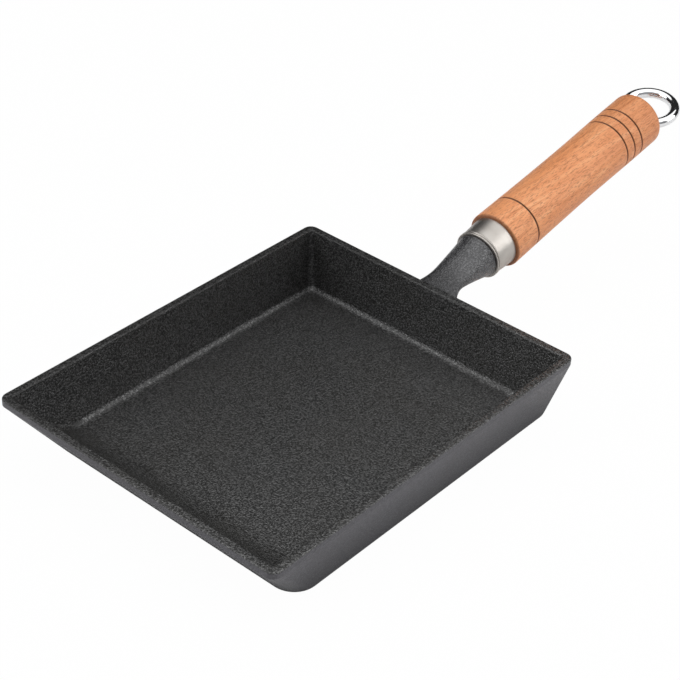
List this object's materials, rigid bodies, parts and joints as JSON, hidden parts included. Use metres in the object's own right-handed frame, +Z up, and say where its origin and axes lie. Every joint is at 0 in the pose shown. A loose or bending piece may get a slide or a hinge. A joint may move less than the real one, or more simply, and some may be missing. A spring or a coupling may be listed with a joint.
{
  "type": "tamagoyaki pan",
  "caption": "Rectangular cast-iron omelette pan with a sloped front wall and a turned wooden grip that ends in a steel hanging ring.",
  "frame": {"origin": "point on the flat resting face, under the middle of the rim rectangle", "axes": "+X along the pan towards the grip, +Z up from the resting face, +Y to the left when looking towards the grip"},
  "size_m": [0.3738, 0.1526, 0.0724],
  "materials": {
    "cast_iron": "matt, fine sand-cast grain",
    "ferrule_steel": "satin",
    "beech": "smooth, thin clear coat",
    "rod_steel": "plain turned steel",
    "ring_chrome": "polished"
  },
  "bodies": {
    "pan": {"pan_body": "cast_iron", "ferrule": "ferrule_steel", "grip": "beech", "tie_rod": "rod_steel"},
    "ring": {"hang_ring": "ring_chrome"}
  },
  "joints": [
    {"name": "ring_turn", "type": "hinge", "parent": "pan", "child": "ring", "pos_m": [0.25362, 0, 0.05905], "axis": [0.9836, 0, 0.1805], "range_deg": [0, 180]}
  ]
}
